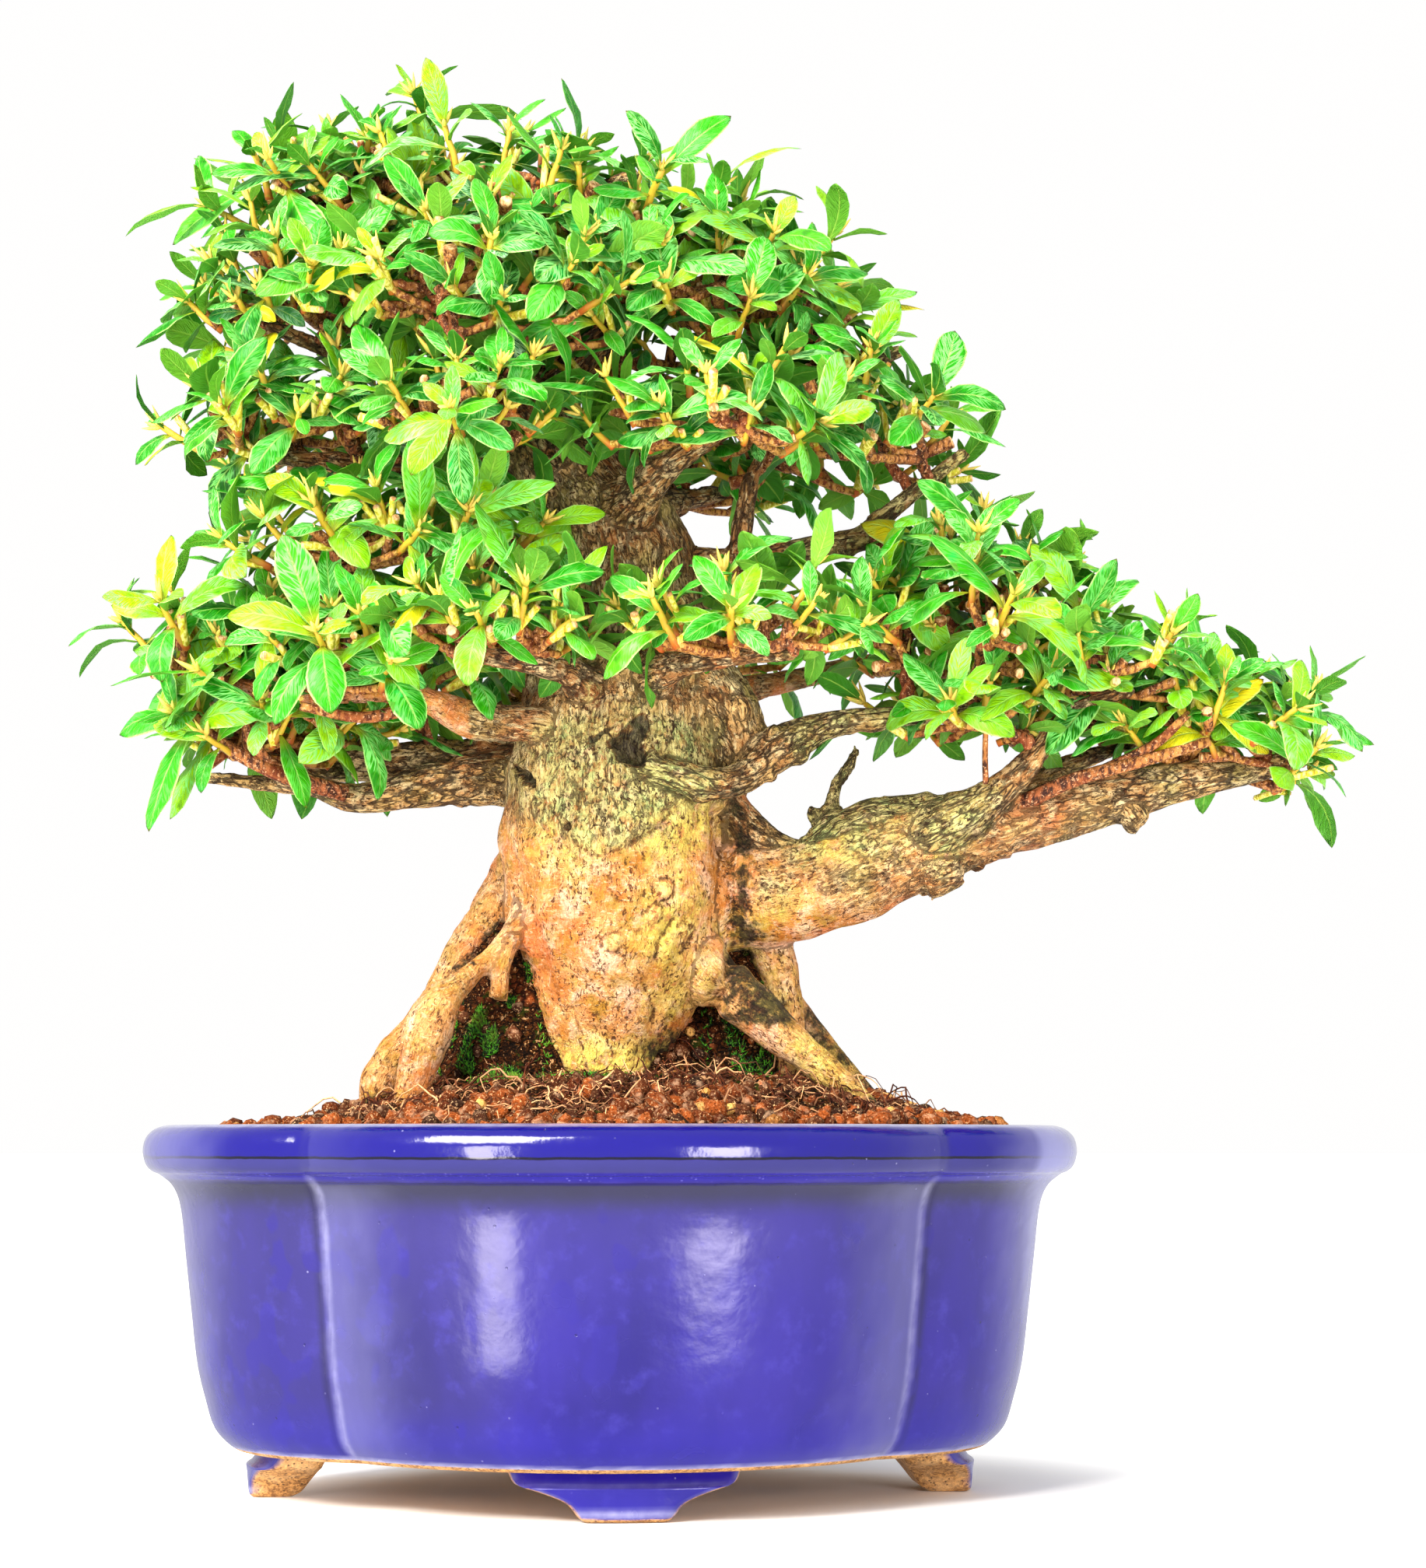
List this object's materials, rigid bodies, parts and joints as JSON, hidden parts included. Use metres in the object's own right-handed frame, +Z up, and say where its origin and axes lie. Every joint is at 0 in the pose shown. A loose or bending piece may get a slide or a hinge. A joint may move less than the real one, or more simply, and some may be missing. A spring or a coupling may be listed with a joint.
{
  "type": "satsuki azalea bonsai",
  "caption": "Small azalea bonsai with a stout tapering trunk, surface roots and leafy pads, standing in a blue glazed four-lobed pot with bracket feet.",
  "frame": {"origin": "on the surface it stands on, under the middle of the whole part's box", "axes": "+X along the pot's long axis, towards the low right branch as seen from the front; -Y is the front; +Z up"},
  "size_m": [0.3786, 0.224, 0.4199],
  "materials": {
    "glaze": "gloss",
    "net": "matte",
    "soil": "matte",
    "bark": "matte",
    "leaf": "satin"
  },
  "bodies": {
    "root": {"pot": "glaze", "drain_net_left": "net", "drain_net_right": "net", "soil": "soil", "trunk_and_branches": "bark", "leafy_shoot_01": "leaf", "leafy_shoot_02": "leaf", "leafy_shoot_03": "leaf", "leafy_shoot_04": "leaf", "leafy_shoot_05": "leaf", "leafy_shoot_06": "leaf", "leafy_shoot_07": "leaf", "leafy_shoot_08": "leaf", "leafy_shoot_09": "leaf", "leafy_shoot_10": "leaf", "leafy_shoot_11": "leaf", "leafy_shoot_12": "leaf", "leafy_shoot_13": "leaf", "leafy_shoot_14": "leaf", "leafy_shoot_15": "leaf", "leafy_shoot_16": "leaf", "leafy_shoot_17": "leaf", "leafy_shoot_18": "leaf", "leafy_shoot_19": "leaf", "leafy_shoot_20": "leaf", "leafy_shoot_21": "leaf", "leafy_shoot_22": "leaf", "leafy_shoot_23": "leaf", "leafy_shoot_24": "leaf", "leafy_shoot_25": "leaf", "leafy_shoot_26": "leaf", "leafy_shoot_27": "leaf", "leafy_shoot_28": "leaf", "leafy_shoot_29": "leaf", "leafy_shoot_30": "leaf", "leafy_shoot_31": "leaf", "leafy_shoot_32": "leaf", "leafy_shoot_33": "leaf", "leafy_shoot_34": "leaf", "leafy_shoot_35": "leaf", "leafy_shoot_36": "leaf", "leafy_shoot_37": "leaf", "leafy_shoot_38": "leaf", "leafy_shoot_39": "leaf", "leafy_shoot_40": "leaf", "leafy_shoot_41": "leaf", "leafy_shoot_42": "leaf", "leafy_shoot_43": "leaf", "leafy_shoot_44": "leaf", "leafy_shoot_45": "leaf", "leafy_shoot_46": "leaf", "leafy_shoot_47": "leaf", "leafy_shoot_48": "leaf", "leafy_shoot_49": "leaf", "leafy_shoot_50": "leaf"}
  },
  "joints": []
}
